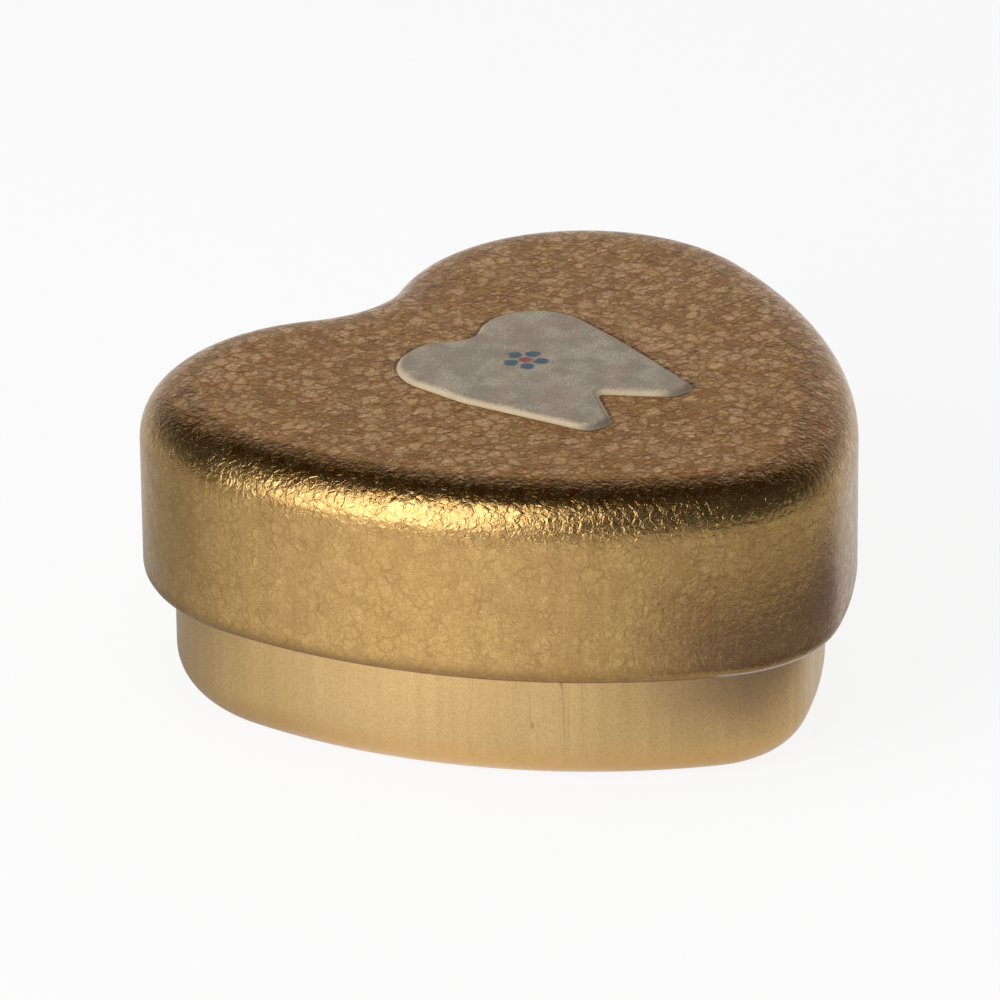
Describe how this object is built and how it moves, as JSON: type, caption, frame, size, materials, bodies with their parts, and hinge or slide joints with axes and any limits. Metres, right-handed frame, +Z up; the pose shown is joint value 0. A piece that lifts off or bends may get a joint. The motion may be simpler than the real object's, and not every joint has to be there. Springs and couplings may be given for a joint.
{
  "type": "heart-shaped keepsake tin",
  "caption": "Small heart-shaped pressed tin with a deep slip lid, curled edges and a raised tooth in the lid panel, for keeping milk teeth.",
  "frame": {"origin": "middle of the heart's outline, on the surface that the base stands on", "axes": "+Z up through the lid, +X across the two lobes, +Y from the tip of the heart to its cleft"},
  "size_m": [0.044, 0.0408, 0.0194],
  "materials": {
    "base_lacquer": "satin gold lacquer on tinplate",
    "lid_lacquer": "crackled gold lacquer on tinplate, raised tooth in off-white enamel"
  },
  "bodies": {
    "base": {"base": "base_lacquer"},
    "lid": {"lid": "lid_lacquer"}
  },
  "joints": [
    {"name": "lid_lift", "type": "slide", "parent": "base", "child": "lid", "axis": [0, 0, 1], "range_m": [0, 0.03]}
  ]
}
